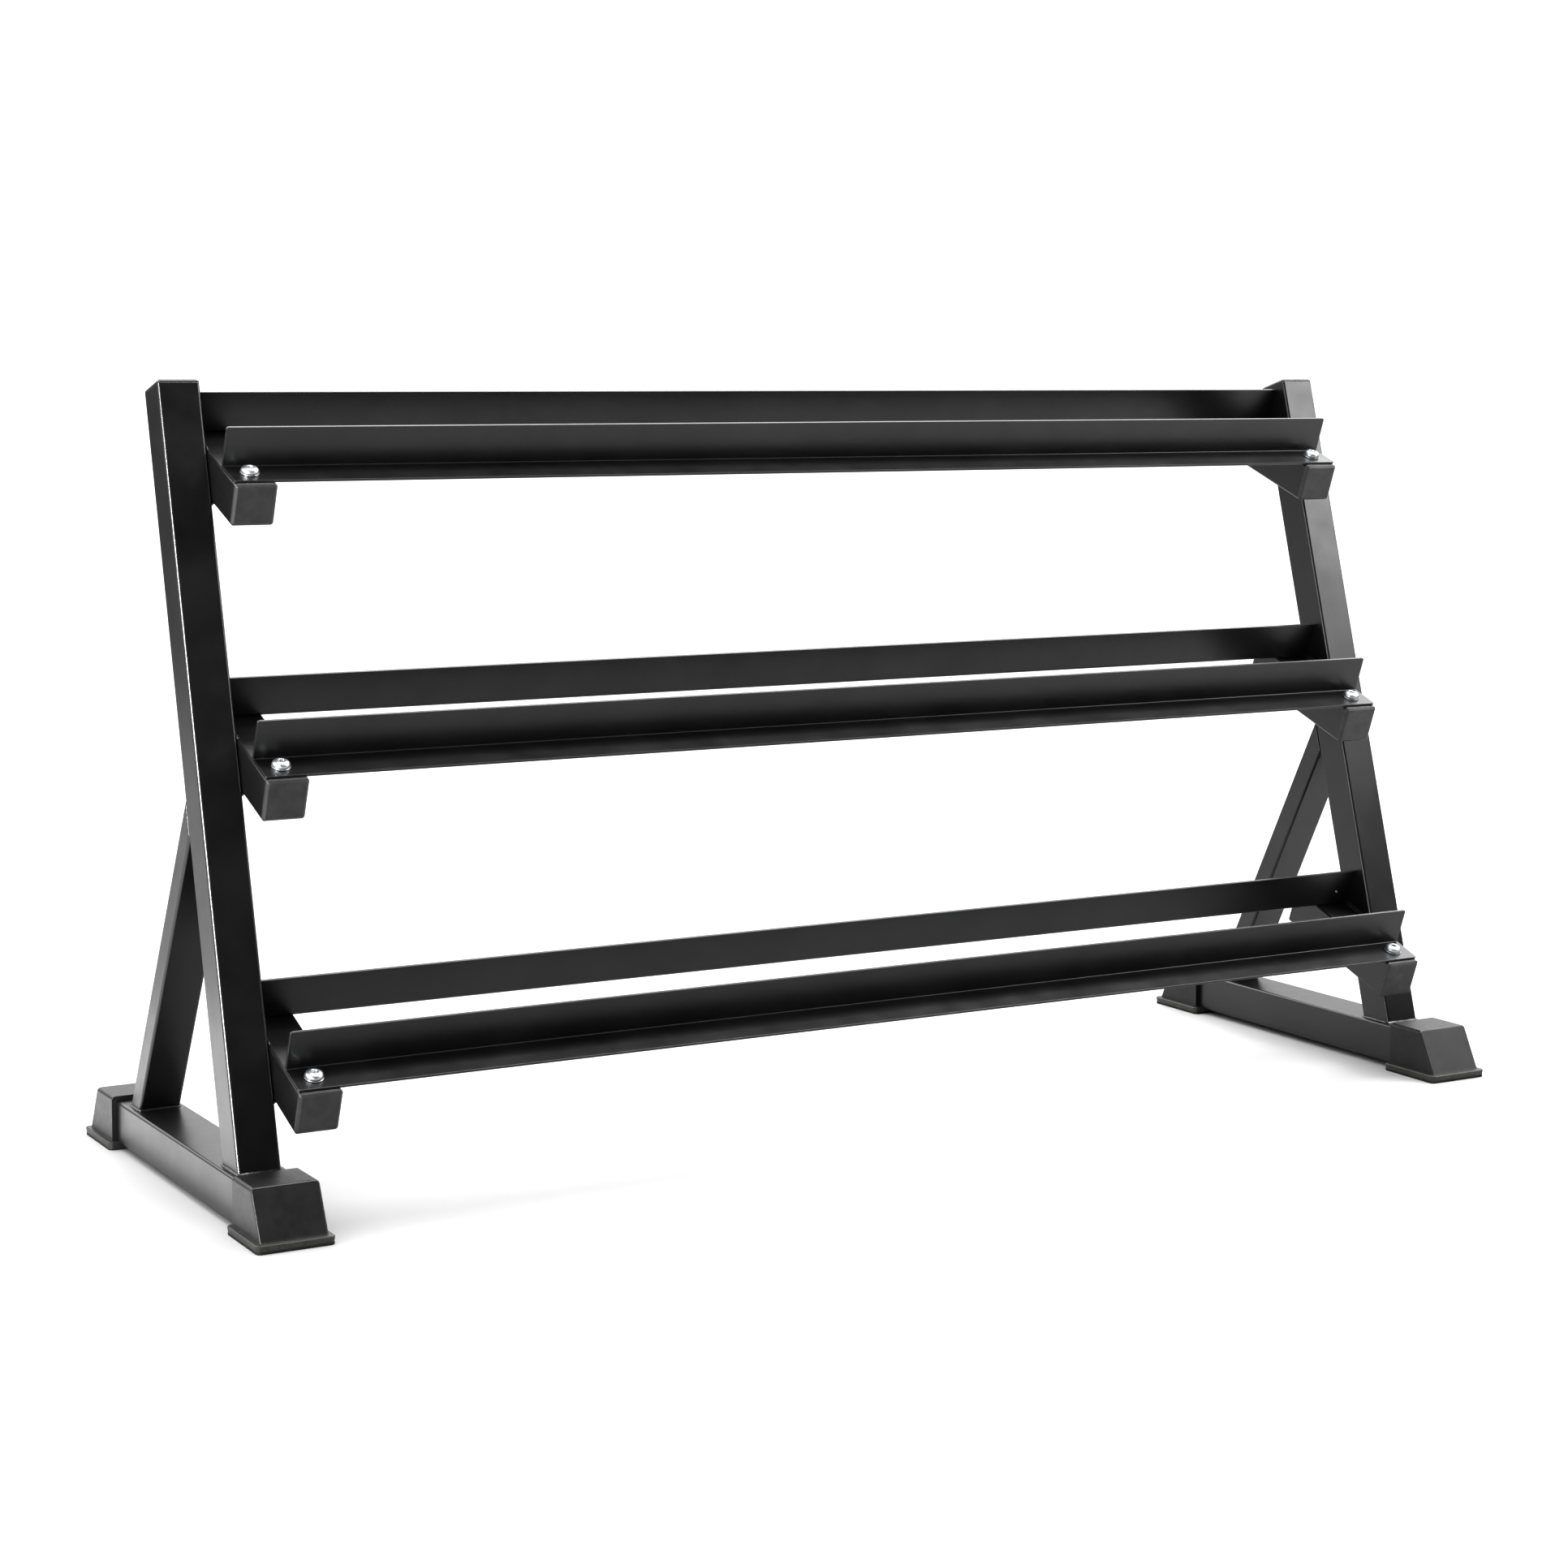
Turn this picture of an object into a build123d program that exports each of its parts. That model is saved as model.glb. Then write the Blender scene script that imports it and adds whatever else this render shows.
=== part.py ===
"""Three-tier dumbbell rack: two welded side frames joined by six bolted angle rails.

Millimetres. +X runs along the rails to the right, +Y to the rear, +Z up.
The origin is on the floor, under the centre of the rack's footprint.
"""
from build123d import *
from math import atan, cos, degrees, radians, sin, tan
import os

# Overall
RAIL_LENGTH = 1566.0          # also the gap between the uprights' inner faces
FOOTPRINT_DEPTH = 610.0       # front edge of the front skirts to rear edge of the rear skirts, before bevels
RACK_HEIGHT = 923.0           # front edge of the upright's top cap, before its bevel

# Square tube of the uprights and arms
TUBE = 50.0
TUBE_WALL = 2.0
TUBE_CORNER = 3.5

# Foot tube, which lies front to back with a boot on each end
FOOT_WIDTH = 66.0
FOOT_HEIGHT = 50.0
FOOT_BOTTOM = 8.0

# Upright and rear brace
UPRIGHT_LEAN = 15.5           # degrees back from vertical
UPRIGHT_SETBACK = 112.0       # front of the footprint to the upright's front face, at the foot
BRACE_LEAN = 28.8             # degrees forward from vertical
BRACE_DEPTH = 30.0
BRACE_SPREAD = 377.0          # upright's front face to the brace's rear face, at the foot

# Arms, welded to the uprights' inner faces
ARM_HEIGHTS = {"lower": 154.0, "middle": 484.0, "upper": 806.0}  # front top edge of each arm
ARM_REACH = 82.0              # that edge to the upright's front face, level
ARM_TILT = 20.8               # degrees, front end down
ARM_LENGTH = 200.0

# Angle rails
RAIL_LIP = 45.0               # flange that lies on the arms
RAIL_FLANGE = 50.0            # flange that stands up
RAIL_THICKNESS = 3.0
RAIL_OUTER_BEND = 4.0
RAIL_INNER_BEND = 1.0
RAIL_SETBACK = 2.0            # edge of the lip behind the arm's end
RAIL_END_CORNER = 3.0
HANG_HOLE_DIAMETER = 4.0      # hook hole for coating, in one rail
HANG_HOLE_INSET = 25.0
HANG_HOLE_HEIGHT = 20.0

# Screws, washers and weld nuts
SCREW_INSET = 25.0            # from the rail's end
SCREW_SETBACK = 23.0          # from the arm's end
SCREW_DIAMETER = 12.0
SCREW_LENGTH = 25.0
SCREW_HOLE = 13.0
HEAD_DIAMETER = 21.0
HEAD_HEIGHT = 6.6
HEAD_RIM = 1.4
HEAD_FLAT = 11.0
SOCKET_FLATS = 8.0
SOCKET_DEPTH = 4.2
DOME_RADIUS = 9.0
WASHER_DIAMETER = 22.0
WASHER_THICKNESS = 1.5
NUT_FLATS = 18.0
NUT_HEIGHT = 10.0
THREAD_GAP = 0.1              # radial, screw to nut

# Plastic end caps
ARM_CAP_THICKNESS = 5.0
TOP_CAP_THICKNESS = 4.0
CAP_BEVEL_DEPTH = 2.5
CAP_BEVEL_WIDTH = 3.0
PLUG_DEPTH = 10.0
PLUG_WALL = 2.0
PLUG_CORNER = 1.6
PLUG_GAP = 0.2                # plug to the inside of its tube

# Boots
BOOT_WIDTH = 78.0
BOOT_TOP = 64.0
BOOT_LENGTH = 85.0            # mouth to the bottom of the end face
BOOT_SLOPE = 27.0             # how far the end face leans in, from bottom to top
BOOT_TOP_EDGE = 5.0
BOOT_FACE_EDGE = 2.5
BOOT_GAP = 0.2                # foot tube to the sleeve
SLEEVE_DEPTH = 52.0           # mouth to the stop that the tube's end meets
NOSE_WALL = 6.0
SKIRT_WIDTH = 90.0
SKIRT_HEIGHT = 10.0
SKIRT_PROUD = 7.0             # ahead of the end face
SKIRT_BEHIND = 6.0            # past the mouth, under the tube
SKIRT_CORNER = 6.0
SKIRT_DRAFT = 1.5             # how far the skirt's sides lean in, from top to floor
SKIRT_BEVEL = 1.0

# Places worked out from the sizes above
SIDES = {"left": -1, "right": 1}
ENDS = {"front": -1, "rear": 1}
LEAN, TILT, RAKE = radians(UPRIGHT_LEAN), radians(ARM_TILT), radians(BRACE_LEAN)
FOOT_TOP = FOOT_BOTTOM + FOOT_HEIGHT
UPRIGHT_X = (RAIL_LENGTH + TUBE) / 2
ARM_X = (RAIL_LENGTH - TUBE) / 2
SCREW_X = RAIL_LENGTH / 2 - SCREW_INSET
UPRIGHT_FRONT = UPRIGHT_SETBACK - FOOTPRINT_DEPTH / 2
BRACE_REAR = UPRIGHT_FRONT + BRACE_SPREAD
BOOT_MOUTH = FOOTPRINT_DEPTH / 2 - SKIRT_PROUD - BOOT_LENGTH
FOOT_TUBE_END = BOOT_MOUTH + SLEEVE_DEPTH
SCREW_ALONG = {"front": SCREW_SETBACK, "rear": ARM_LENGTH - SCREW_SETBACK}
FLANGE_ALONG = {
    "front": RAIL_SETBACK + RAIL_LIP,
    "rear": ARM_LENGTH - RAIL_SETBACK - RAIL_LIP,
}


def save(piece, label):
    """Label a finished piece and write it to a STEP file of the same name."""
    piece.part.label = label
    export_step(piece.part, f"parts/{label}.step")


# Reference planes

def upright_front_at(height):
    """Y of the uprights' front faces at a height above the floor."""
    return UPRIGHT_FRONT + (height - FOOT_TOP) * tan(LEAN)


def upright_end(x):
    """Plane across the upright at its sawn top, centred on the tube and facing along it."""
    across, along = TUBE / 2, TOP_CAP_THICKNESS
    y = upright_front_at(RACK_HEIGHT) + across * cos(LEAN) - along * sin(LEAN)
    z = RACK_HEIGHT - across * sin(LEAN) - along * cos(LEAN)
    return Plane(origin=(x, y, z), x_dir=(1, 0, 0), z_dir=(0, sin(LEAN), cos(LEAN)))


def arm_deck(tier, x=0.0, along=0.0, above=0.0):
    """Plane on a tier's arm tops: x to the right, y back along the arms, z out of them."""
    height = ARM_HEIGHTS[tier]
    y = upright_front_at(height) - ARM_REACH + along * cos(TILT) - above * sin(TILT)
    z = height + along * sin(TILT) + above * cos(TILT)
    return Plane(origin=(x, y, z), x_dir=(1, 0, 0), z_dir=(0, -sin(TILT), cos(TILT)))


def arm_end(tier, x, end):
    """Plane across an arm at its front or rear end, centred on the tube and facing outwards."""
    along = 0.0 if end == "front" else ARM_LENGTH
    deck = arm_deck(tier, x, along, -TUBE / 2)
    return Plane(origin=deck.origin, x_dir=(1, 0, 0), z_dir=deck.y_dir * ENDS[end])


# Side frames

def tube_section(width, depth):
    """Hollow tube section with rounded corners, centred on the sketch's origin."""
    RectangleRounded(width, depth, TUBE_CORNER)
    bore = 2 * TUBE_WALL
    RectangleRounded(width - bore, depth - bore, TUBE_CORNER - TUBE_WALL, mode=Mode.SUBTRACT)


def make_foot_tube(x):
    middle = Plane(origin=(x, 0, FOOT_BOTTOM + FOOT_HEIGHT / 2), x_dir=(1, 0, 0), z_dir=(0, 1, 0))
    with BuildPart() as foot_tube:
        with BuildSketch(middle):
            tube_section(FOOT_WIDTH, FOOT_HEIGHT)
        extrude(amount=FOOT_TUBE_END, both=True)
    return foot_tube


def make_upright(x):
    with BuildPart() as upright:
        with BuildSketch(upright_end(x)):
            tube_section(TUBE, TUBE)
        extrude(amount=-RACK_HEIGHT)
        split(bisect_by=Plane.XY.offset(FOOT_TOP), keep=Keep.TOP)
    return upright


def make_rear_brace(x):
    """Brace cut level on the foot and mitred against the upright's rear face."""
    half = BRACE_DEPTH / 2
    base = Plane(
        origin=(x, BRACE_REAR - half * cos(RAKE), FOOT_TOP - half * sin(RAKE)),
        x_dir=(1, 0, 0),
        z_dir=(0, -sin(RAKE), cos(RAKE)),
    )
    upright_rear = Plane(
        origin=(x, UPRIGHT_FRONT + TUBE / cos(LEAN), FOOT_TOP),
        z_dir=(0, cos(LEAN), -sin(LEAN)),
    )
    with BuildPart() as brace:
        with BuildSketch(base):
            tube_section(TUBE, BRACE_DEPTH)
        extrude(amount=RACK_HEIGHT, both=True)
        split(bisect_by=Plane.XY.offset(FOOT_TOP), keep=Keep.TOP)
        split(bisect_by=upright_rear, keep=Keep.TOP)
    return brace


def make_arm(tier, x):
    with BuildPart() as arm:
        with BuildSketch(arm_end(tier, x, "front")):
            tube_section(TUBE, TUBE)
        extrude(amount=-ARM_LENGTH)
        for along in SCREW_ALONG.values():
            with BuildSketch(arm_deck(tier, x, along)):
                Circle(SCREW_HOLE / 2)
            extrude(amount=-2 * TUBE_WALL, mode=Mode.SUBTRACT)
    return arm


# Plastic caps and boots

def make_cap(end_plane, thickness):
    """Bevelled head on a square tube's end, with a hollow plug inside the tube."""
    outward = Axis(end_plane.origin, end_plane.z_dir)
    plug = TUBE - 2 * (TUBE_WALL + PLUG_GAP)
    with BuildPart() as cap:
        with BuildSketch(end_plane):
            RectangleRounded(TUBE, TUBE, TUBE_CORNER)
        extrude(amount=thickness)
        face = cap.faces().sort_by(outward)[-1]
        chamfer(face.edges(), CAP_BEVEL_WIDTH, CAP_BEVEL_DEPTH, reference=face)
        with BuildSketch(end_plane):
            RectangleRounded(plug, plug, PLUG_CORNER)
            hollow = plug - 2 * PLUG_WALL
            RectangleRounded(hollow, hollow, PLUG_CORNER / 2, mode=Mode.SUBTRACT)
        extrude(amount=-PLUG_DEPTH)
    return cap


def boot_face_at(height, wall=0.0):
    """Distance from the boot's mouth to its sloping end face, less a wall."""
    rise = (height - SKIRT_HEIGHT) / (BOOT_TOP - SKIRT_HEIGHT)
    return BOOT_LENGTH - BOOT_SLOPE * rise - wall


def make_boot(x, end):
    """Sleeve for the foot tube's end, with a hollow sloping nose and a skirt on the floor."""
    facing = ENDS[end]
    side_view = Plane(
        origin=(x, facing * BOOT_MOUTH, 0), x_dir=(0, facing, 0), z_dir=(facing, 0, 0)
    )
    skirt_length = SKIRT_BEHIND + BOOT_LENGTH + SKIRT_PROUD
    skirt_y = facing * (BOOT_MOUTH - SKIRT_BEHIND + skirt_length / 2)
    skirt_top_front = (x, skirt_y + facing * skirt_length / 2, SKIRT_HEIGHT)
    sleeve = Plane(
        origin=(x, facing * (BOOT_MOUTH - SKIRT_BEHIND), FOOT_BOTTOM + (FOOT_HEIGHT + BOOT_GAP) / 2),
        x_dir=(1, 0, 0),
        z_dir=(0, facing, 0),
    )
    nose_low, nose_high = FOOT_BOTTOM + NOSE_WALL, BOOT_TOP - NOSE_WALL
    with BuildPart() as boot:
        with BuildSketch(side_view):
            with BuildLine():
                Polyline(
                    (0, SKIRT_HEIGHT / 2),
                    (BOOT_LENGTH, SKIRT_HEIGHT / 2),
                    (BOOT_LENGTH, SKIRT_HEIGHT),
                    (boot_face_at(BOOT_TOP), BOOT_TOP),
                    (0, BOOT_TOP),
                    close=True,
                )
            make_face()
        extrude(amount=BOOT_WIDTH / 2, both=True)
        fillet(boot.edges().filter_by(Axis.Y).group_by(Axis.Z)[-1], BOOT_TOP_EDGE)
        end_face = boot.faces().filter_by(lambda f: abs(f.normal_at().Z) > 0.1).sort_by(Axis.Y)
        end_face = end_face[-1] if facing > 0 else end_face[0]
        fillet(end_face.edges().group_by(Axis.Z)[1:], BOOT_FACE_EDGE)
        with BuildSketch(Plane(origin=(x, skirt_y, 0))):
            RectangleRounded(
                SKIRT_WIDTH - 2 * SKIRT_DRAFT, skirt_length - 2 * SKIRT_DRAFT, SKIRT_CORNER - SKIRT_DRAFT
            )
        extrude(amount=SKIRT_HEIGHT, taper=-degrees(atan(SKIRT_DRAFT / SKIRT_HEIGHT)))
        ledge = boot.faces().filter_by(Axis.Z).sort_by_distance(skirt_top_front)[0]
        chamfer(ledge.outer_wire().edges(), SKIRT_BEVEL)
        with BuildSketch(sleeve):
            RectangleRounded(FOOT_WIDTH + 2 * BOOT_GAP, FOOT_HEIGHT + BOOT_GAP, TUBE_CORNER)
        extrude(amount=SKIRT_BEHIND + SLEEVE_DEPTH, mode=Mode.SUBTRACT)
        with BuildSketch(side_view):
            with BuildLine():
                Polyline(
                    (0, nose_low),
                    (boot_face_at(nose_low, NOSE_WALL), nose_low),
                    (boot_face_at(nose_high, NOSE_WALL), nose_high),
                    (0, nose_high),
                    close=True,
                )
            make_face()
        extrude(amount=FOOT_WIDTH / 2 - NOSE_WALL, both=True, mode=Mode.SUBTRACT)
    return boot


# Rails and fasteners

def make_rail(tier, end):
    """Angle rail: the lip lies on the arms and points outwards, the flange stands up inside."""
    facing = ENDS[end]
    deck = arm_deck(tier, -facing * RAIL_LENGTH / 2, FLANGE_ALONG[end])
    section = Plane(origin=deck.origin, x_dir=deck.y_dir * facing, z_dir=(facing, 0, 0))
    with BuildPart() as rail:
        with BuildSketch(section):
            Rectangle(RAIL_LIP, RAIL_THICKNESS, align=Align.MIN)
            Rectangle(RAIL_THICKNESS, RAIL_FLANGE, align=Align.MIN)
            fillet(vertices().sort_by_distance((0, 0))[0], RAIL_OUTER_BEND)
            inner_bend = (RAIL_THICKNESS, RAIL_THICKNESS)
            fillet(vertices().sort_by_distance(inner_bend)[0], RAIL_INNER_BEND)
        extrude(amount=RAIL_LENGTH)
        fillet(rail.edges().filter_by(lambda e: abs(e.length - RAIL_THICKNESS) < 1e-3), RAIL_END_CORNER)
        with BuildSketch(arm_deck(tier, 0, SCREW_ALONG[end])):
            with Locations((-SCREW_X, 0), (SCREW_X, 0)):
                Circle(SCREW_HOLE / 2)
        extrude(amount=RAIL_THICKNESS, mode=Mode.SUBTRACT)
        if (tier, end) == ("lower", "rear"):
            hole = arm_deck(tier, RAIL_LENGTH / 2 - HANG_HOLE_INSET, FLANGE_ALONG[end], HANG_HOLE_HEIGHT)
            with BuildSketch(Plane(origin=hole.origin, x_dir=(1, 0, 0), z_dir=hole.y_dir)):
                Circle(HANG_HOLE_DIAMETER / 2)
            extrude(amount=RAIL_THICKNESS, mode=Mode.SUBTRACT)
    return rail


def screw_places(tier, above):
    """Planes on the four screw axes of a tier, at a height above the arms' tops."""
    for side in SIDES.values():
        for along in SCREW_ALONG.values():
            yield arm_deck(tier, side * SCREW_X, along, above)


def make_screws(tier):
    """Domed screws with hexagon sockets."""
    radius = HEAD_DIAMETER / 2
    with BuildPart() as screws:
        for seat in screw_places(tier, RAIL_THICKNESS + WASHER_THICKNESS):
            with BuildSketch(Plane(origin=seat.origin, x_dir=(1, 0, 0), z_dir=-seat.y_dir)):
                with BuildLine():
                    outline = Polyline(
                        (HEAD_FLAT / 2, HEAD_HEIGHT),
                        (0, HEAD_HEIGHT),
                        (0, -SCREW_LENGTH),
                        (SCREW_DIAMETER / 2, -SCREW_LENGTH),
                        (SCREW_DIAMETER / 2, 0),
                        (radius, 0),
                        (radius, HEAD_RIM),
                    )
                    RadiusArc(outline @ 1, outline @ 0, -DOME_RADIUS)
                make_face()
            revolve(axis=Axis(seat.origin, seat.z_dir))
            with BuildSketch(seat.offset(HEAD_HEIGHT)):
                RegularPolygon(SOCKET_FLATS / 2, 6, major_radius=False)
            extrude(amount=-SOCKET_DEPTH, mode=Mode.SUBTRACT)
    return screws


def make_washers(tier):
    with BuildPart() as washers:
        for seat in screw_places(tier, RAIL_THICKNESS):
            with BuildSketch(seat):
                Circle(WASHER_DIAMETER / 2)
                Circle(SCREW_HOLE / 2, mode=Mode.SUBTRACT)
            extrude(amount=WASHER_THICKNESS)
    return washers


def make_weld_nuts(tier):
    """Hexagon nuts welded under the arms' top walls."""
    with BuildPart() as nuts:
        for seat in screw_places(tier, -TUBE_WALL):
            with BuildSketch(seat):
                RegularPolygon(NUT_FLATS / 2, 6, major_radius=False)
                Circle(SCREW_DIAMETER / 2 + THREAD_GAP, mode=Mode.SUBTRACT)
            extrude(amount=-NUT_HEIGHT)
    return nuts


os.makedirs("parts", exist_ok=True)

for side, hand in SIDES.items():
    upright_x, arm_x = hand * UPRIGHT_X, hand * ARM_X
    save(make_foot_tube(upright_x), f"{side}_foot_tube")
    save(make_upright(upright_x), f"{side}_upright")
    save(make_cap(upright_end(upright_x), TOP_CAP_THICKNESS), f"{side}_upright_cap")
    save(make_rear_brace(upright_x), f"{side}_rear_brace")
    for end in ENDS:
        save(make_boot(upright_x, end), f"{side}_{end}_boot")
    for tier in ARM_HEIGHTS:
        save(make_arm(tier, arm_x), f"{side}_{tier}_arm")
        for end in ENDS:
            cap = make_cap(arm_end(tier, arm_x, end), ARM_CAP_THICKNESS)
            save(cap, f"{side}_{tier}_arm_{end}_cap")

for tier in ARM_HEIGHTS:
    for end in ENDS:
        save(make_rail(tier, end), f"{tier}_{end}_rail")
    save(make_screws(tier), f"{tier}_tier_screws")
    save(make_washers(tier), f"{tier}_tier_washers")
    save(make_weld_nuts(tier), f"{tier}_tier_weld_nuts")
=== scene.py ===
"""Looks of the three-tier dumbbell rack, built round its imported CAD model.

Metres, in the model's own frame: +X along the rails to the right, +Y to the rear, +Z up from
the floor. Tubes, rails, caps, boots and weld nuts are the CAD's own solids, with their edges
eased by modifiers. Screws and washers are finer meshes that stand for the CAD's. Weld beads
and the tread round the foot of each boot are added here.
"""

import random
from math import cos, pi, radians, sin, tan

import bmesh
import bpy
from mathutils import Matrix, Vector


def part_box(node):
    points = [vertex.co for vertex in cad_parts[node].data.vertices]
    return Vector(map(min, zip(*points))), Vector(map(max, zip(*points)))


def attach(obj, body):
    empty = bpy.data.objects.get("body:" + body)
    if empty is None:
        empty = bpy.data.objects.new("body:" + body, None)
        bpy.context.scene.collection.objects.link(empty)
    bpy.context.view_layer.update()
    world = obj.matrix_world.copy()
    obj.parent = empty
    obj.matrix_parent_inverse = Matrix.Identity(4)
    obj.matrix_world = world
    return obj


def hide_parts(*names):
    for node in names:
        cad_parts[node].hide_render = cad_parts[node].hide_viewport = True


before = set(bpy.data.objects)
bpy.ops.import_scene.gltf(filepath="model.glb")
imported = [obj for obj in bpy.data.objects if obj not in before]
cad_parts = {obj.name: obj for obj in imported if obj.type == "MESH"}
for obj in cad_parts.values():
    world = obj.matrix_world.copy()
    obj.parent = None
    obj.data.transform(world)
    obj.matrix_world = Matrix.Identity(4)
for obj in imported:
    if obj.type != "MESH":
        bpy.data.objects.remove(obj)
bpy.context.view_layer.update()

SIDES = {"left": -1, "right": 1}
ENDS = {"front": -1, "rear": 1}
TIERS = ("lower", "middle", "upper")

# Angles and sections of the steelwork
UPRIGHT_LEAN = radians(15.5)      # back from vertical
BRACE_RAKE = radians(28.8)        # forward from vertical
ARM_TILT = radians(20.8)          # front end down
TUBE = 0.050
TUBE_CORNER = 0.0035
BRACE_DEPTH = 0.030
ARM_LENGTH = 0.200

# Easing of the CAD's sharp edges
EASED_EDGE = {
    "powder_coat": 0.0012,
    "cap_plastic": 0.0012,
    "boot_plastic": 0.0016,
    "plain_steel": 0.0003,
}
EASE_STEPS = 3
EASE_FROM = radians(32)           # sharper edges than this are eased
COPLANAR = radians(0.5)
SAME_POINT = 1e-6                 # split corners of the CAD's triangles closer than this are joined

# Screws and washers
HEAD_RADIUS = 0.0105
HEAD_HEIGHT = 0.0066
HEAD_RIM = 0.0014
HEAD_EASE = 0.0004                # at the head's lower edge and the socket's mouth
HEAD_FLAT_RADIUS = 0.0044
DOME_STEPS = 10
SOCKET_SIDES = 6
SOCKET_APOTHEM = 0.0031
SOCKET_DEPTH = 0.0034
DRILL_POINT = 0.0010              # below the socket's walls
SHANK_RADIUS = 0.0060
SHANK_LENGTH = 0.025
THREAD_PITCH = 0.00175
THREAD_DEPTH = 0.0007
WASHER_RADIUS = 0.011
WASHER_BORE = 0.0065
WASHER_THICKNESS = 0.0015
LATHE_STEPS = 72

# Weld beads
BEAD_LEG = 0.0040
FOOT_BEAD_LEG = 0.0024            # where a tube stands on the foot tube
BEAD_STEP = 0.0008
BEAD_SUNK = 0.0004                # root of the bead inside the steel
BEAD_FACE_STEPS = 6
BEAD_DOME = 0.80                  # reach of the face's middle, where a flat face would have 0.71
BEAD_RIPPLE = 0.0022              # length of one ripple
BEAD_RIPPLE_DEPTH = 0.07          # this and the next three are shares of the leg
BEAD_FULLNESS = 0.92
BEAD_JITTER = 0.02
BEAD_END = 0.35                   # fullness where an open bead starts and stops

# Treads round the feet of the boots
SKIRT_DRAFT = 0.0015
SKIRT_CORNER = 0.0060
SKIRT_HEIGHT = 0.010
TREAD_HEIGHT = 0.0032
TREAD_PITCH = 0.0024
TREAD_PROUD = 0.0008
TREAD_INSET = 0.0010
TREAD_LIFT = 0.0002               # off the floor
TREAD_EASE = 0.0004               # from the teeth's top to the band's

# Glow of the studio, as (where, share of the full brightness). The rear and roof bands run from
# level (0) to straight up (1), the side bands from left (0) to right (1), and the rear share,
# which fades the rear glow out towards the front, from front (0) to rear (1).
SKY_BRIGHTNESS = 4.0
REAR_BANDS = ((0.0, 0.03), (0.16, 0.06), (0.34, 0.40), (0.62, 1.0), (0.85, 0.7), (1.0, 0.4))
REAR_SHARE = ((0.0, 0.0), (0.42, 0.0), (0.75, 1.0), (1.0, 1.0))
ROOF_BANDS = ((0.0, 0.0), (0.70, 0.02), (1.0, 0.3))
SIDE_BANDS = ((0.0, 0.24), (0.17, 0.22), (0.27, 0.0), (0.82, 0.0), (0.96, 0.08), (1.0, 0.08))

# Suns straight overhead: strength, angle across, and whether the gloss shows them
SUNS = {
    "overhead": (0.6, radians(44), True),
    "matt_fill": (1.2, radians(150), False),
}

# Rectangular lamps: middle, point they face, width and height, watts, angle of the beam, and
# whether they light matt surfaces or show only in the gloss
SOFTBOXES = {
    "right_front_box": ((3.2, -1.9, 2.45), (0.8, 0, 0.7), (2.0, 1.7), 75, pi, True),
    "left_strip": ((-3.0, -1.1, 0.9), (-0.9, 0.6, 0.5), (0.8, 1.6), 38, radians(50), False),
    "right_strip": ((3.4, 1.3, 1.3), (0.3, 0, 0.5), (0.8, 1.6), 12, pi, False),
    "roof_strip": ((1.7, -0.2, 3.8), (1.7, -0.2, 0), (3.4, 1.0), 200, pi, False),
    "rear_left_card": ((-1.27, 0.32, 0.005), (-1.27, 0.32, 1.0), (0.8, 1.3), 3.4, pi, False),
}

FLOOR_REACH = 4.6                 # from its middle to its sides
FLOOR_SQUARES = 8

# Camera
CAMERA_PLACE = Vector((-1.951, -3.367, 0.923))
CAMERA_HEADING = radians(29.56)   # from +Y towards +X
CAMERA_DIP = radians(3.94)        # below level
CAMERA_LENS = 71.05               # millimetres
CAMERA_SENSOR = 36.0              # millimetres
CAMERA_SHIFT = -0.1227            # of the frame's side; negative is downwards


# Meshes

def make_piece(name, bm, finish, replaces=()):
    """Turn a bmesh into a piece of the rack that rides on its one body."""
    bmesh.ops.recalc_face_normals(bm, faces=bm.faces)
    mesh = bpy.data.meshes.new(name)
    bm.to_mesh(mesh)
    bm.free()
    mesh.materials.append(finish)
    mesh.shade_smooth()
    piece = bpy.data.objects.new(name, mesh)
    bpy.context.scene.collection.objects.link(piece)
    shade_by_area(piece)
    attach(piece, "root")
    if replaces:
        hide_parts(*replaces)
    return piece


def shade_by_area(piece):
    """Let large flat faces keep their own normals, so that only the eased edges shade round."""
    weighted = piece.modifiers.new("shade_by_area", "WEIGHTED_NORMAL")
    weighted.mode = "FACE_AREA"
    weighted.weight = 50
    weighted.keep_sharp = False


def add_rows(bm, rings, place=Matrix.Identity(4)):
    """Vertices at successive rings of points."""
    return [[bm.verts.new(place @ point) for point in ring] for ring in rings]


def join_rows(bm, rows, following):
    """Quads from each ring of vertices to the one that follows it."""
    for low, high in zip(rows, following):
        for i, vert in enumerate(low):
            j = (i + 1) % len(low)
            bm.faces.new((vert, low[j], high[j], high[i]))


def skin_loop(bm, rings, place=Matrix.Identity(4)):
    """Close a ring-shaped solid over rings of points, the last of them next to the first."""
    rows = add_rows(bm, rings, place)
    join_rows(bm, rows, rows[1:] + rows[:1])


def skin(bm, rings, place=Matrix.Identity(4)):
    """Close a solid over successive rings of points that run the same way round."""
    rows = add_rows(bm, rings, place)
    join_rows(bm, rows, rows[1:])
    bm.faces.new(list(reversed(rows[0])))
    bm.faces.new(rows[-1])


def turned(radius, height, sides=0):
    """Ring of points about Z: a circle, or a regular polygon with that inner radius."""
    half = pi / sides if sides else 0.0
    ring = []
    for i in range(LATHE_STEPS):
        angle = 2 * pi * i / LATHE_STEPS
        reach = radius / cos(angle % (2 * half) - half) if sides else radius
        ring.append(Vector((reach * cos(angle), reach * sin(angle), height)))
    return ring


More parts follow.
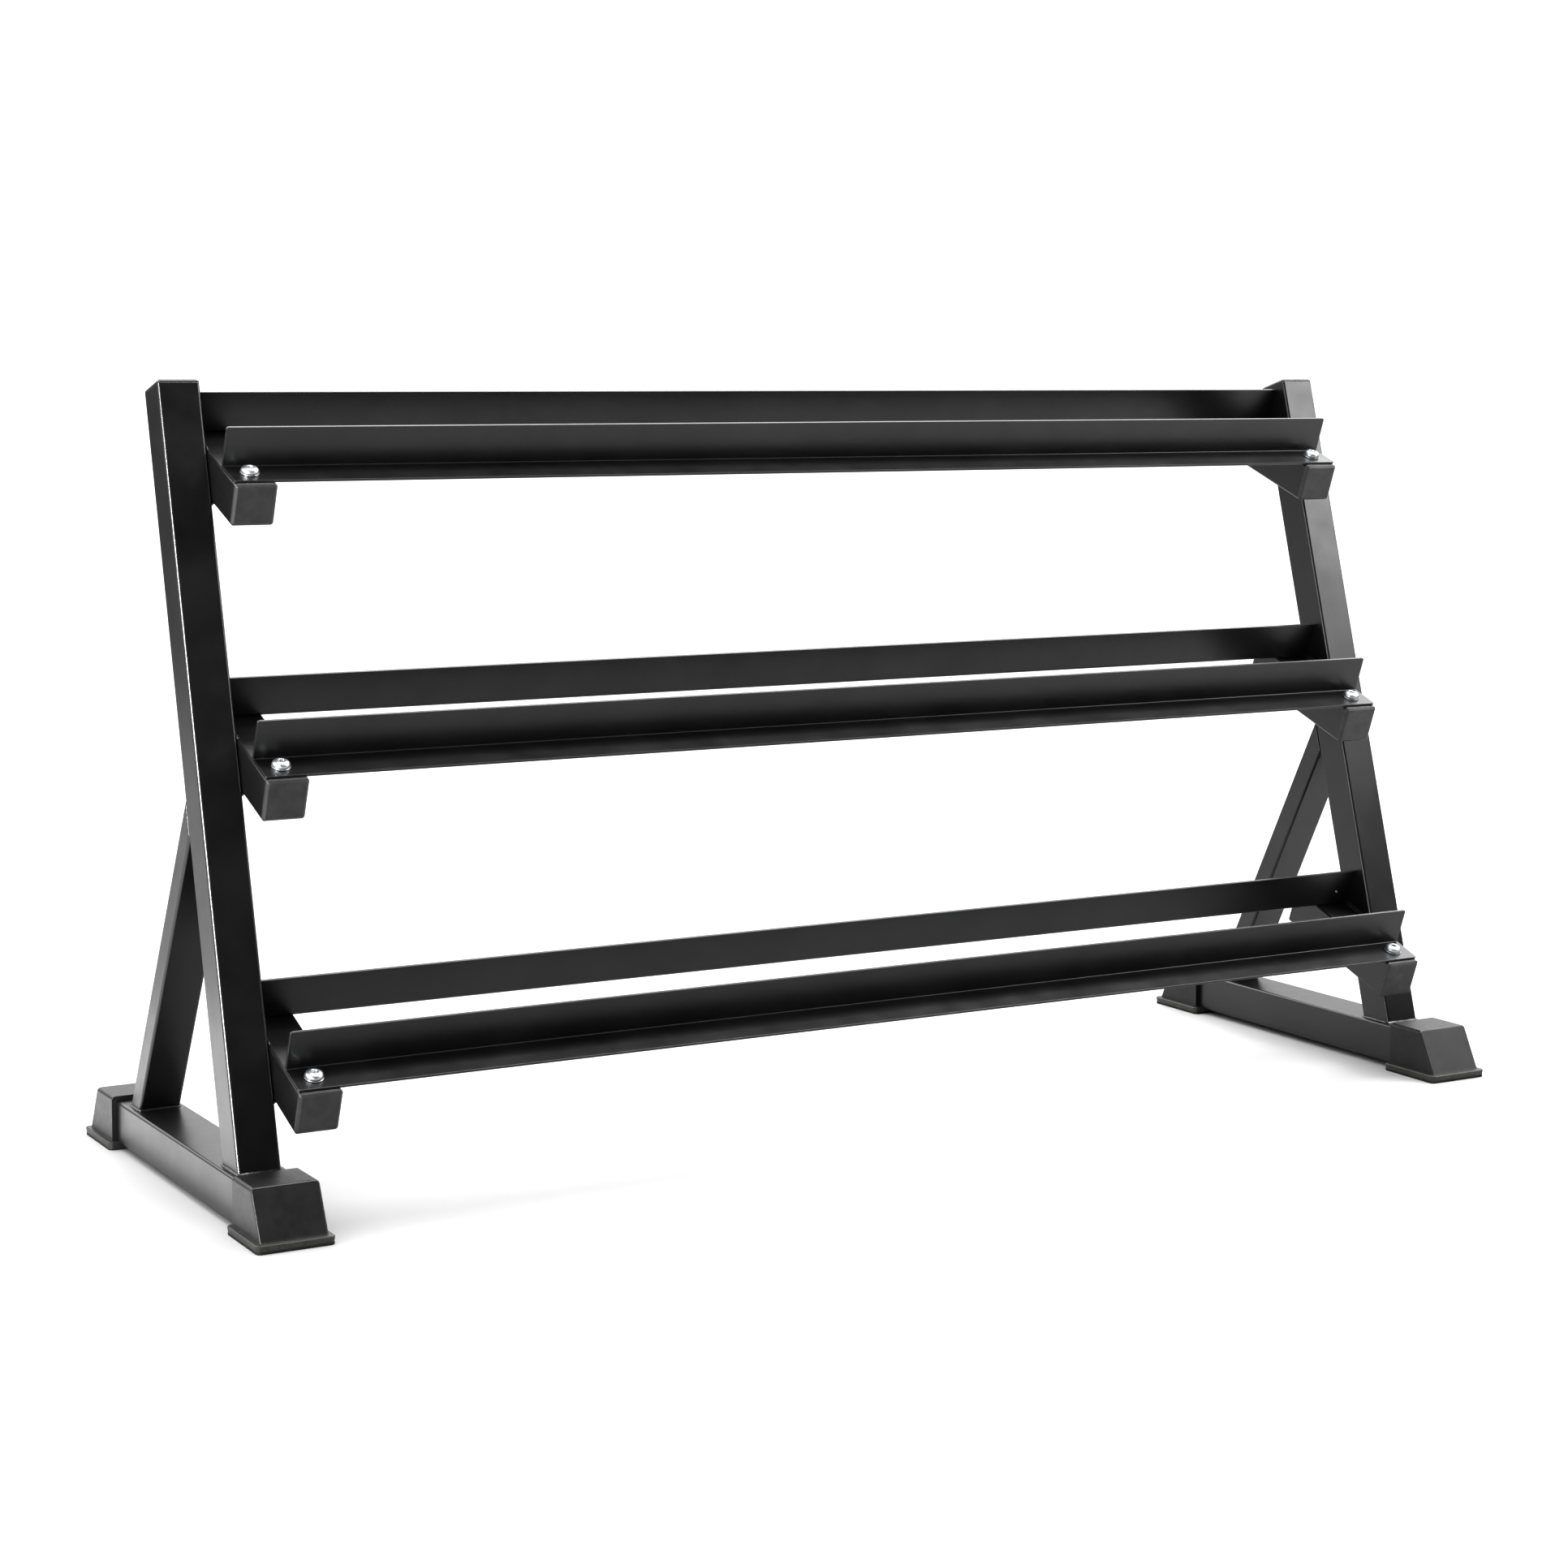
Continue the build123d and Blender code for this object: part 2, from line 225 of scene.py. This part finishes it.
def rounded_outline(half_width, half_length, corner, step):
    """Points round a rounded rectangle about the origin, each with its outward direction."""
    points = []
    centres = [(1, 1), (-1, 1), (-1, -1), (1, -1)]
    for quarter, (sx, sy) in enumerate(centres):
        centre = Vector((sx * (half_width - corner), sy * (half_length - corner), 0))
        bend_steps = max(3, round(corner * pi / 2 / step))
        for i in range(bend_steps + 1):
            angle = pi / 2 * (quarter + i / bend_steps)
            out = Vector((cos(angle), sin(angle), 0))
            points.append((centre + corner * out, out))
        nx, ny = centres[(quarter + 1) % 4]
        ahead = Vector((nx * (half_width - corner), ny * (half_length - corner), 0)) + corner * out
        start = points[-1][0]
        run_steps = round((ahead - start).length / step)
        points += [(start.lerp(ahead, i / run_steps), out) for i in range(1, run_steps)]
    return points


# Screws and washers

def screw_seats(tier):
    """Frames on the undersides of a tier's four washers, with Z out of the arm's top."""
    low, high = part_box(f"{tier}_tier_washers")
    half = WASHER_THICKNESS / 2
    margin = Vector((
        WASHER_RADIUS,
        WASHER_RADIUS * cos(ARM_TILT) + half * sin(ARM_TILT),
        WASHER_RADIUS * sin(ARM_TILT) + half * cos(ARM_TILT),
    ))
    front, rear = low + margin, high - margin
    tilt = Matrix.Rotation(ARM_TILT, 4, "X")
    for x in (front.x, rear.x):
        for end in (front, rear):
            yield Matrix.Translation((x, end.y, end.z)) @ tilt @ Matrix.Translation((0, 0, -half))


def screw_rings():
    """Rings of a button-head screw, tip to bottom of the socket, with its head seated at zero."""
    threads = int(SHANK_LENGTH / THREAD_PITCH) - 1
    rings = [turned(SHANK_RADIUS - 2 * THREAD_DEPTH, -SHANK_LENGTH)]
    for i in range(threads):
        root = -SHANK_LENGTH + THREAD_DEPTH + i * THREAD_PITCH
        rings.append(turned(SHANK_RADIUS - THREAD_DEPTH, root))
        rings.append(turned(SHANK_RADIUS, root + THREAD_PITCH / 2))
    rings.append(turned(SHANK_RADIUS - THREAD_DEPTH, 0))
    rings.append(turned(HEAD_RADIUS - HEAD_EASE, 0))
    rings.append(turned(HEAD_RADIUS, HEAD_EASE))
    for i in range(DOME_STEPS + 1):
        angle = pi / 2 * i / DOME_STEPS
        radius = HEAD_FLAT_RADIUS + (HEAD_RADIUS - HEAD_FLAT_RADIUS) * cos(angle)
        rings.append(turned(radius, HEAD_RIM + (HEAD_HEIGHT - HEAD_RIM) * sin(angle)))
    rings.append(turned(SOCKET_APOTHEM + HEAD_EASE, HEAD_HEIGHT, SOCKET_SIDES))
    rings.append(turned(SOCKET_APOTHEM, HEAD_HEIGHT - HEAD_EASE, SOCKET_SIDES))
    rings.append(turned(SOCKET_APOTHEM, HEAD_HEIGHT - SOCKET_DEPTH, SOCKET_SIDES))
    rings.append(turned(SOCKET_APOTHEM / 4, HEAD_HEIGHT - SOCKET_DEPTH - DRILL_POINT))
    return rings


def make_screws(tier, finish):
    """Button-head screws, each turned to its own angle as a spanner leaves it."""
    bm = bmesh.new()
    for seat in screw_seats(tier):
        turn = Matrix.Rotation(random.uniform(0, 2 * pi / SOCKET_SIDES), 4, "Z")
        skin(bm, screw_rings(), seat @ Matrix.Translation((0, 0, WASHER_THICKNESS)) @ turn)
    make_piece(f"{tier}_tier_button_screws", bm, finish, [f"{tier}_tier_screws"])


def make_washers(tier, finish):
    """Flat washers with rounded rims, as rings closed on themselves."""
    ease = WASHER_THICKNESS / 4
    section = [
        (WASHER_BORE, ease), (WASHER_BORE, WASHER_THICKNESS - ease),
        (WASHER_BORE + ease, WASHER_THICKNESS), (WASHER_RADIUS - ease, WASHER_THICKNESS),
        (WASHER_RADIUS, WASHER_THICKNESS - ease), (WASHER_RADIUS, ease),
        (WASHER_RADIUS - ease, 0), (WASHER_BORE + ease, 0),
    ]
    bm = bmesh.new()
    for seat in screw_seats(tier):
        skin_loop(bm, [turned(*place) for place in section], seat)
    make_piece(f"{tier}_tier_flat_washers", bm, finish, [f"{tier}_tier_washers"])


# Weld beads

def bead_section(root, leg_a, leg_b, swell):
    """Cross-section of a fillet weld: its root and a slightly domed face between its two legs."""
    section = [root - BEAD_SUNK * (leg_a + leg_b).normalized()]
    for i in range(BEAD_FACE_STEPS + 1):
        angle = pi / 2 * i / BEAD_FACE_STEPS
        dome = BEAD_DOME + (1 - BEAD_DOME) * abs(cos(2 * angle))
        section.append(root + swell * dome * (cos(angle) * leg_a + sin(angle) * leg_b))
    return section


def bead_swell(travel, length, closed):
    """How full the bead is at a point along it: ripples, slow unevenness and tapering ends."""
    ripple = BEAD_RIPPLE_DEPTH * abs(sin(pi * travel / BEAD_RIPPLE))
    drift = 0.10 * sin(travel * 170 + length * 900) + 0.05 * sin(travel * 410)
    ends = 1.0 if closed else min(1.0, BEAD_END + min(travel, length - travel) / BEAD_LEG)
    return (BEAD_FULLNESS + ripple + drift + random.uniform(-BEAD_JITTER, BEAD_JITTER)) * ends


def lay_bead(bm, path, closed=False):
    """Lay a bead along a list of (root point, leg, other leg)."""
    lengths = [0.0]
    for (here, _, _), (ahead, _, _) in zip(path, path[1:]):
        lengths.append(lengths[-1] + (ahead - here).length)
    rings = [
        bead_section(root, leg_a, leg_b, bead_swell(travel, lengths[-1], closed))
        for travel, (root, leg_a, leg_b) in zip(lengths, path)
    ]
    if closed:
        skin_loop(bm, rings)
    else:
        skin(bm, rings)


def straight_path(start, end, leg_a, leg_b):
    """Path of a straight bead between two points."""
    steps = max(2, round((end - start).length / BEAD_STEP))
    return [(start.lerp(end, i / steps), leg_a, leg_b) for i in range(steps + 1)]


def foot_joint(bm, middle, lean, depth):
    """Bead all round a leaning tube where it stands on the foot tube."""
    axis = Vector((0, sin(lean), cos(lean)))
    outline = rounded_outline(TUBE / 2, depth / 2 / cos(lean), TUBE_CORNER, BEAD_STEP)
    path = [(middle + point, out * FOOT_BEAD_LEG, axis * FOOT_BEAD_LEG) for point, out in outline]
    lay_bead(bm, path, closed=True)


def make_side_welds(side, finish):
    """Beads at the feet of the upright and the brace, and where the brace meets the upright."""
    upright_low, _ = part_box(f"{side}_upright")
    brace_low, brace_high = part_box(f"{side}_rear_brace")
    x = upright_low.x + TUBE / 2
    foot_top = upright_low.z
    upright_depth = TUBE / cos(UPRIGHT_LEAN)
    brace_depth = BRACE_DEPTH / cos(BRACE_RAKE)
    bm = bmesh.new()
    foot_joint(bm, Vector((x, upright_low.y + upright_depth / 2, foot_top)), UPRIGHT_LEAN, TUBE)
    foot_joint(bm, Vector((x, brace_high.y - brace_depth / 2, foot_top)), -BRACE_RAKE, BRACE_DEPTH)
    upright_up = Vector((0, sin(UPRIGHT_LEAN), cos(UPRIGHT_LEAN)))
    brace_down = Vector((0, sin(BRACE_RAKE), -cos(BRACE_RAKE)))
    for brace_face, along in ((brace_high.y, upright_up), (brace_high.y - brace_depth, -upright_up)):
        gap = brace_face - upright_low.y - upright_depth
        rise = gap / (tan(UPRIGHT_LEAN) + tan(BRACE_RAKE))
        root = Vector((0, brace_face - rise * tan(BRACE_RAKE), foot_top + rise))
        ends = [root + Vector((x + edge * (TUBE / 2 - TUBE_CORNER / 2), 0, 0)) for edge in (-1, 1)]
        lay_bead(bm, straight_path(*ends, along * BEAD_LEG, brace_down * BEAD_LEG))
    make_piece(f"{side}_frame_welds", bm, finish)


def meeting(point_a, along_a, point_b, along_b):
    """Where two lines in a plane of constant x meet."""
    gap = point_b - point_a
    cross = along_a.y * along_b.z - along_a.z * along_b.y
    return point_a + along_a * ((gap.y * along_b.z - gap.z * along_b.y) / cross)


def make_arm_welds(side, tier, finish):
    """Beads above, below and behind the patch where an arm lies against the upright."""
    hand = SIDES[side]
    upright_low, upright_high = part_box(f"{side}_upright")
    arm_low, arm_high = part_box(f"{side}_{tier}_arm")
    wall_x = upright_high.x if hand < 0 else upright_low.x
    lean = Vector((0, sin(UPRIGHT_LEAN), cos(UPRIGHT_LEAN)))
    lean_back = Vector((0, cos(UPRIGHT_LEAN), -sin(UPRIGHT_LEAN)))
    along = Vector((0, cos(ARM_TILT), sin(ARM_TILT)))
    out_of_top = Vector((0, -sin(ARM_TILT), cos(ARM_TILT)))
    front = Vector((wall_x, upright_low.y, upright_low.z))
    rear = front + lean_back * TUBE
    top = Vector((wall_x, arm_low.y, arm_high.z - ARM_LENGTH * sin(ARM_TILT)))
    bottom = top - out_of_top * TUBE
    inward = Vector((-hand, 0, 0))
    corners = {
        (a, b): meeting(edge, lean, face, along)
        for a, edge in (("front", front), ("rear", rear))
        for b, face in (("top", top), ("bottom", bottom))
    }
    bm = bmesh.new()
    for face, out in (("top", out_of_top), ("bottom", -out_of_top)):
        ends = corners["front", face], corners["rear", face]
        lay_bead(bm, straight_path(*ends, out * BEAD_LEG, inward * BEAD_LEG))
    ends = corners["rear", "bottom"], corners["rear", "top"]
    lay_bead(bm, straight_path(*ends, lean_back * BEAD_LEG, -inward * BEAD_LEG))
    make_piece(f"{side}_{tier}_arm_welds", bm, finish)


# Treads

def make_tread(side, end, finish):
    """Serrated band round the foot of a boot's skirt."""
    low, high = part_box(f"{side}_{end}_boot")
    middle = Vector(((low.x + high.x) / 2, (low.y + high.y) / 2, 0))
    half_width = (high.x - low.x) / 2 - SKIRT_DRAFT
    half_length = (high.y - low.y) / 2 - SKIRT_DRAFT
    outline = rounded_outline(half_width, half_length, SKIRT_CORNER - SKIRT_DRAFT, TREAD_PITCH / 2)
    flare = SKIRT_DRAFT * TREAD_HEIGHT / SKIRT_HEIGHT
    section = (                   # height, offset from the skirt's foot, how far its teeth stand out
        (TREAD_LIFT, -TREAD_INSET, 0.0), (TREAD_LIFT, 0.0, TREAD_PROUD),
        (TREAD_HEIGHT - TREAD_EASE, flare, TREAD_PROUD),
        (TREAD_HEIGHT, flare, 0.0), (TREAD_HEIGHT, -TREAD_INSET, 0.0),
    )
    rings = []
    for height, offset, proud in section:
        lift = middle + Vector((0, 0, height))
        rings.append([
            lift + point + out * (offset + proud * (i % 2))
            for i, (point, out) in enumerate(outline)
        ])
    bm = bmesh.new()
    skin_loop(bm, rings)
    make_piece(f"{side}_{end}_boot_tread", bm, finish)


# Materials

class Finish:
    """A Principled material being wired up. Object coordinates are the frame's own metres."""

    def __init__(self, name, **sockets):
        self.material = bpy.data.materials.new(name)
        self.material.use_nodes = True
        self.tree = self.material.node_tree
        self.shader = self.tree.nodes["Principled BSDF"]
        self.place = self.tree.nodes.new("ShaderNodeTexCoord").outputs["Object"]
        for socket, value in sockets.items():
            self.shader.inputs[socket.replace("_", " ")].default_value = value

    def node(self, kind, links=None, **values):
        """Add a node, set its properties and inputs, and link what feeds it."""
        made = self.tree.nodes.new(kind)
        for name, value in values.items():
            setattr(made, name, value)
        for socket, source in (links or {}).items():
            if isinstance(source, bpy.types.NodeSocket):
                self.tree.links.new(source, made.inputs[socket])
            else:
                made.inputs[socket].default_value = source
        return made

    def noise(self, scale, detail=2.0, roughness=0.5, stretch=None):
        """Noise value, with features about 1/scale metres across, stretched if asked."""
        place = self.place
        if stretch:
            place = self.node("ShaderNodeMapping", {"Vector": place, "Scale": stretch}).outputs[0]
        inputs = {"Vector": place, "Scale": scale, "Detail": detail, "Roughness": roughness}
        return self.node("ShaderNodeTexNoise", inputs).outputs["Fac"]

    def patches(self, scale, detail=4):
        """Soft patches, nought to one."""
        return self.spread(self.noise(scale, detail), 0.35, 0.65, 0.0, 1.0)

    def uneven(self, low, high, scale, detail, roughness=0.5):
        """A value that wanders from a low to a high one."""
        return self.spread(self.noise(scale, detail, roughness), 0.3, 0.7, low, high)

    def spread(self, value, low, high, to_low, to_high):
        """Map a value from one range to another, held inside it."""
        inputs = {"Value": value, "From Min": low, "From Max": high, "To Min": to_low, "To Max": to_high}
        return self.node("ShaderNodeMapRange", inputs, clamp=True).outputs["Result"]

    def blend(self, factor, first, second):
        """Mix two colours by a factor."""
        mix = self.node("ShaderNodeMix", {0: factor}, data_type="RGBA")
        for slot, colour in ((6, first), (7, second)):
            if isinstance(colour, bpy.types.NodeSocket):
                self.tree.links.new(colour, mix.inputs[slot])
            else:
                mix.inputs[slot].default_value = (*colour, 1.0)
        return mix.outputs[2]

    def times(self, first, second):
        """Product of two values."""
        return self.node("ShaderNodeMath", {0: first, 1: second}, operation="MULTIPLY").outputs[0]

    def edges(self, radius):
        """Mask of the painted edge highlight: one on eased edges and in creases, nought on flat faces.
        """
        bent = self.node("ShaderNodeBevel", {"Radius": radius}, samples=4).outputs[0]
        normal = self.node("ShaderNodeNewGeometry").outputs["Normal"]
        dot = self.node("ShaderNodeVectorMath", {0: bent, 1: normal}, operation="DOT_PRODUCT")
        return self.spread(dot.outputs["Value"], 0.995, 0.90, 0.0, 1.0)

    def bump(self, height, strength, distance, under=None):
        """Bump from a height, laid over another bump if given."""
        links = {"Height": height, "Strength": strength, "Distance": distance}
        if under:
            links["Normal"] = under
        return self.node("ShaderNodeBump", links).outputs[0]

    def wire(self, **sockets):
        """Link values to the shader and return the finished material."""
        for socket, source in sockets.items():
            self.tree.links.new(source, self.shader.inputs[socket.replace("_", " ")])
        return self.material


def powder_coat():
    """Satin black powder coat: orange peel, faint mottling, fine specks, and a painted highlight on its
    edges and creases.
    """
    coat = Finish("satin_powder_coat", IOR=1.60)
    mottle = coat.patches(9)
    speck = coat.spread(coat.noise(900, 1), 0.60, 0.75, 0.0, 1.0)
    body = coat.blend(mottle, (0.007, 0.007, 0.00735), (0.013, 0.013, 0.01352))
    body = coat.blend(coat.times(speck, 0.25), body, (0.020, 0.020, 0.021))
    # Painted highlight: the base colour turns light grey on eased edges and in creases.
    body = coat.blend(coat.times(coat.edges(0.0015), 0.85), body, (0.11, 0.11, 0.112))
    smear = coat.uneven(0.29, 0.36, 22, 5, 0.6)
    peel = coat.bump(coat.noise(420, 2), 0.12, 0.0004)
    grain = coat.bump(coat.noise(1300, 2), 0.14, 0.0002, peel)
    return coat.wire(Base_Color=body, Roughness=smear, Normal=grain)


def cap_plastic():
    """Moulded polyethylene, matt, with a fine spark-eroded grain and a painted highlight on its edges.
    """
    cap = Finish("cap_polyethylene", IOR=1.5)
    body = cap.blend(cap.patches(60), (0.036, 0.036, 0.037), (0.052, 0.052, 0.053))
    # Painted highlight: the base colour turns lighter on eased edges and in creases.
    body = cap.blend(cap.times(cap.edges(0.0010), 0.45), body, (0.060, 0.060, 0.061))
    smear = cap.uneven(0.42, 0.54, 150, 4)
    grain = cap.bump(cap.noise(2600, 3), 0.30, 0.0002)
    return cap.wire(Base_Color=body, Roughness=smear, Normal=grain)


def boot_plastic():
    """Moulded boot: satin, with a drawn grain, light scuffs, a painted highlight on its edges, and a
    patchy paler grey low down.
    """
    boot = Finish("boot_polypropylene", IOR=1.5)
    body = boot.blend(boot.patches(40), (0.008, 0.008, 0.009), (0.014, 0.014, 0.015))
    scuff = boot.spread(boot.noise(90, 6, 0.7, (1.0, 1.0, 5.0)), 0.60, 0.72, 0.0, 0.15)
    body = boot.blend(scuff, body, (0.030, 0.030, 0.029))
    # Painted highlight: the base colour turns lighter on eased edges and in creases.
    body = boot.blend(boot.times(boot.edges(0.0012), 0.55), body, (0.050, 0.050, 0.051))
    # Patchy paler grey below 13 mm, fullest from 8 mm down to the floor.
    height = boot.node("ShaderNodeSeparateXYZ", {0: boot.place}).outputs["Z"]
    paler_low_down = boot.times(boot.spread(height, 0.013, 0.008, 0.0, 0.90), boot.noise(300, 4))
    body = boot.blend(paler_low_down, body, (0.10, 0.098, 0.092))
    smear = boot.uneven(0.40, 0.46, 110, 5)
    grain = boot.bump(boot.noise(1500, 3), 0.22, 0.0002)
    return boot.wire(Base_Color=body, Roughness=smear, Normal=grain)


def tread_rubber():
    """Rubbery tread, duller than the boot and dusty where it meets the floor."""
    tread = Finish("tread_rubber", IOR=1.5)
    dirt = tread.spread(tread.noise(400, 4), 0.45, 0.75, 0.0, 1.0)
    body = tread.blend(dirt, (0.012, 0.012, 0.012), (0.045, 0.044, 0.042))
    smear = tread.uneven(0.60, 0.80, 250, 3)
    grain = tread.bump(tread.noise(2200, 2), 0.30, 0.0002)
    return tread.wire(Base_Color=body, Roughness=smear, Normal=grain)


def zinc_plate():
    """Bright zinc plate: slightly clouded, with fine handling marks."""
    zinc = Finish("bright_zinc", Metallic=1.0)
    body = zinc.blend(zinc.patches(260), (0.38, 0.39, 0.40), (0.52, 0.53, 0.54))
    smear = zinc.uneven(0.34, 0.46, 700, 5, 0.6)
    marks = zinc.bump(zinc.noise(1800, 3, 0.6, (1.0, 6.0, 1.0)), 0.10, 0.0001)
    return zinc.wire(Base_Color=body, Roughness=smear, Normal=marks)


def plain_steel():
    """Turned steel of the weld nuts, unpolished and faintly oiled."""
    steel = Finish("plain_steel_nut", Metallic=1.0)
    body = steel.blend(steel.patches(180), (0.34, 0.33, 0.32), (0.50, 0.50, 0.50))
    smear = steel.uneven(0.32, 0.50, 500, 4)
    marks = steel.bump(steel.noise(1500, 3), 0.20, 0.0002)
    return steel.wire(Base_Color=body, Roughness=smear, Normal=marks)


def floor_paint():
    """Mid grey studio floor, all but even, which the studio's light shows as white."""
    paint = Finish("studio_floor", IOR=1.3)
    tone = paint.uneven(0.0, 1.0, 2, 3)
    body = paint.blend(tone, (0.52, 0.52, 0.52), (0.54, 0.54, 0.54))
    smear = paint.uneven(0.85, 0.95, 30, 3)
    return paint.wire(Base_Color=body, Roughness=smear)


# CAD nodes

def weld_and_smooth_group():
    """Geometry nodes that join a tessellation's split corners and shade it smooth."""
    group = bpy.data.node_groups.new("weld_and_smooth", "GeometryNodeTree")
    for direction in ("INPUT", "OUTPUT"):
        group.interface.new_socket("Geometry", in_out=direction, socket_type="NodeSocketGeometry")
    entry = group.nodes.new("NodeGroupInput")
    weld = group.nodes.new("GeometryNodeMergeByDistance")
    smooth = group.nodes.new("GeometryNodeSetShadeSmooth")
    weld.inputs["Distance"].default_value = SAME_POINT
    chain = [entry, weld, smooth, group.nodes.new("NodeGroupOutput")]
    for before, after in zip(chain, chain[1:]):
        group.links.new(before.outputs[0], after.inputs[0])
    return group


def dress_cad_nodes(finishes):
    """Give every CAD node its finish, and ease its sharp edges without touching its mesh."""
    group = weld_and_smooth_group()
    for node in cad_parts.values():
        slot = node.material_slots[0].material.name
        for material_slot in node.material_slots:
            material_slot.material = finishes[slot]
        if slot not in EASED_EDGE:
            continue
        node.modifiers.new("weld_and_smooth", "NODES").node_group = group
        planar = node.modifiers.new("join_coplanar", "DECIMATE")
        planar.decimate_type = "DISSOLVE"
        planar.angle_limit = COPLANAR
        ease = node.modifiers.new("ease_edges", "BEVEL")
        ease.width = EASED_EDGE[slot]
        ease.segments = EASE_STEPS
        ease.limit_method = "ANGLE"
        ease.angle_limit = EASE_FROM
        shade_by_area(node)


# Stage, light and camera

def make_floor():
    """Large plain floor. Where it ends, the left upright has less to reflect."""
    bm = bmesh.new()
    bmesh.ops.create_grid(bm, x_segments=FLOOR_SQUARES, y_segments=FLOOR_SQUARES, size=FLOOR_REACH)
    mesh = bpy.data.meshes.new("floor")
    bm.to_mesh(mesh)
    bm.free()
    mesh.materials.append(floor_paint())
    floor = bpy.data.objects.new("floor", mesh)
    bpy.context.scene.collection.objects.link(floor)


def softbox(name, middle, aim, size, power, beam, lights_matt):
    """Rectangular lamp that faces a point and is itself out of the picture."""
    lamp = bpy.data.lights.new(name, "AREA")
    lamp.shape = "RECTANGLE"
    lamp.size, lamp.size_y = size
    lamp.energy = power
    lamp.spread = beam
    box = bpy.data.objects.new(name, lamp)
    box.location = middle
    box.rotation_mode = "QUATERNION"
    box.rotation_quaternion = (Vector(aim) - Vector(middle)).to_track_quat("-Z", "Y")
    box.visible_camera = False
    box.visible_diffuse = lights_matt
    bpy.context.scene.collection.objects.link(box)


def overhead_sun(name, strength, angle, shows_in_gloss):
    """Light from straight above; the wider its angle, the softer the shadow under the rack."""
    lamp = bpy.data.lights.new(name, "SUN")
    lamp.energy = strength
    lamp.angle = angle
    sun = bpy.data.objects.new(name, lamp)
    sun.visible_camera = False
    sun.visible_glossy = shows_in_gloss
    bpy.context.scene.collection.objects.link(sun)


def studio_air():
    """White all round for the camera; for the steel, bright behind and above and dark in front."""
    world = bpy.data.worlds.new("studio")
    world.use_nodes = True
    bpy.context.scene.world = world
    tree = world.node_tree
    tree.nodes.clear()
    link = tree.links.new

    def bands(source, stops):
        """Brightness read off a list of (where, brightness) stops."""
        node = tree.nodes.new("ShaderNodeValToRGB")
        node.color_ramp.interpolation = "B_SPLINE"
        elements = node.color_ramp.elements
        for element in elements[:-1]:
            elements.remove(element)
        elements[0].position, first = stops[0]
        elements[0].color = (first, first, first, 1.0)
        for place, value in stops[1:]:
            elements.new(place).color = (value, value, value, 1.0)
        link(source, node.inputs["Fac"])
        return node.outputs["Color"]

    def combine(first, second, operation):
        """Arithmetic on two values."""
        node = tree.nodes.new("ShaderNodeMath")
        node.operation = operation
        for socket, source in zip(node.inputs, (first, second)):
            if isinstance(source, bpy.types.NodeSocket):
                link(source, socket)
            else:
                socket.default_value = source
        return node.outputs[0]

    def background(strength):
        """White background."""
        node = tree.nodes.new("ShaderNodeBackground")
        node.inputs["Color"].default_value = (1.0, 1.0, 1.0, 1.0)
        if strength:
            link(strength, node.inputs["Strength"])
        return node.outputs[0]

    def as_share(axis):
        """An axis of the direction, -1 to 1, as a share from 0 to 1."""
        return combine(combine(axis, 0.5, "MULTIPLY"), 0.5, "ADD")

    direction = tree.nodes.new("ShaderNodeTexCoord")
    axes = tree.nodes.new("ShaderNodeSeparateXYZ")
    link(direction.outputs["Generated"], axes.inputs[0])
    behind = bands(as_share(axes.outputs["Y"]), REAR_SHARE)
    sides = bands(as_share(axes.outputs["X"]), SIDE_BANDS)
    rear_glow = combine(behind, bands(axes.outputs["Z"], REAR_BANDS), "MULTIPLY")
    glow = combine(rear_glow, bands(axes.outputs["Z"], ROOF_BANDS), "MAXIMUM")
    glow = combine(glow, sides, "MAXIMUM")
    choose = tree.nodes.new("ShaderNodeMixShader")
    link(tree.nodes.new("ShaderNodeLightPath").outputs["Is Camera Ray"], choose.inputs[0])
    link(background(combine(glow, SKY_BRIGHTNESS, "MULTIPLY")), choose.inputs[1])
    link(background(None), choose.inputs[2])
    link(choose.outputs[0], tree.nodes.new("ShaderNodeOutputWorld").inputs["Surface"])


def light_studio():
    """Graded glow all round, suns overhead, and lamps placed for what the coat reflects of them."""
    studio_air()
    for name, settings in SUNS.items():
        overhead_sun(name, *settings)
    for name, settings in SOFTBOXES.items():
        softbox(name, *settings)


def make_camera():
    """The photo's own point of view, and the scene's camera."""
    lens = bpy.data.cameras.new("camera")
    lens.lens = CAMERA_LENS
    lens.sensor_width = CAMERA_SENSOR
    lens.shift_y = CAMERA_SHIFT
    camera = bpy.data.objects.new("camera", lens)
    camera.location = CAMERA_PLACE
    sight = Vector((
        sin(CAMERA_HEADING) * cos(CAMERA_DIP),
        cos(CAMERA_HEADING) * cos(CAMERA_DIP),
        -sin(CAMERA_DIP),
    ))
    camera.rotation_mode = "QUATERNION"
    camera.rotation_quaternion = sight.to_track_quat("-Z", "Y")
    bpy.context.scene.collection.objects.link(camera)
    bpy.context.scene.camera = camera


# The rack

random.seed(7)
coat = powder_coat()
zinc = zinc_plate()
tread = tread_rubber()
dress_cad_nodes({
    "powder_coat": coat,
    "cap_plastic": cap_plastic(),
    "boot_plastic": boot_plastic(),
    "plain_steel": plain_steel(),
    "zinc": zinc,
})
for tier in TIERS:
    make_screws(tier, zinc)
    make_washers(tier, zinc)
for side in SIDES:
    make_side_welds(side, coat)
    for tier in TIERS:
        make_arm_welds(side, tier, coat)
    for end in ENDS:
        make_tread(side, end, tread)

make_floor()
light_studio()
make_camera()
bpy.context.scene.view_settings.view_transform = "Standard"
bpy.context.scene.view_settings.look = "High Contrast"
